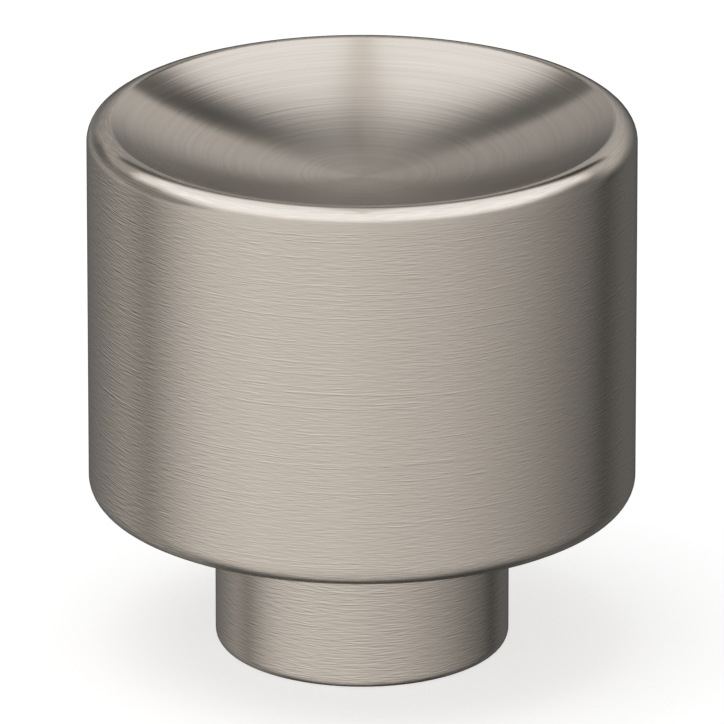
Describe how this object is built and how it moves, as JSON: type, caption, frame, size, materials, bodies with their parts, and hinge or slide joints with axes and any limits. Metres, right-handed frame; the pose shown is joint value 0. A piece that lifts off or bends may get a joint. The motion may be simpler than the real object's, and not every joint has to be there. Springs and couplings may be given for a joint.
{
  "type": "cabinet knob",
  "caption": "Drum-shaped cabinet knob with a dished top and rounded lip, on a short narrow neck with a blind tapped hole in its flat foot.",
  "frame": {"origin": "centre of the foot's face, which lies against the cabinet front", "axes": "+Z along the knob's axis, from the foot to the head; the knob is round, so X and Y are any two directions across it"},
  "size_m": [0.032, 0.032, 0.0322],
  "materials": {
    "satin_nickel": "brushed satin nickel plating, the grain running round the axis"
  },
  "bodies": {
    "root": {"knob": "satin_nickel"}
  },
  "joints": []
}
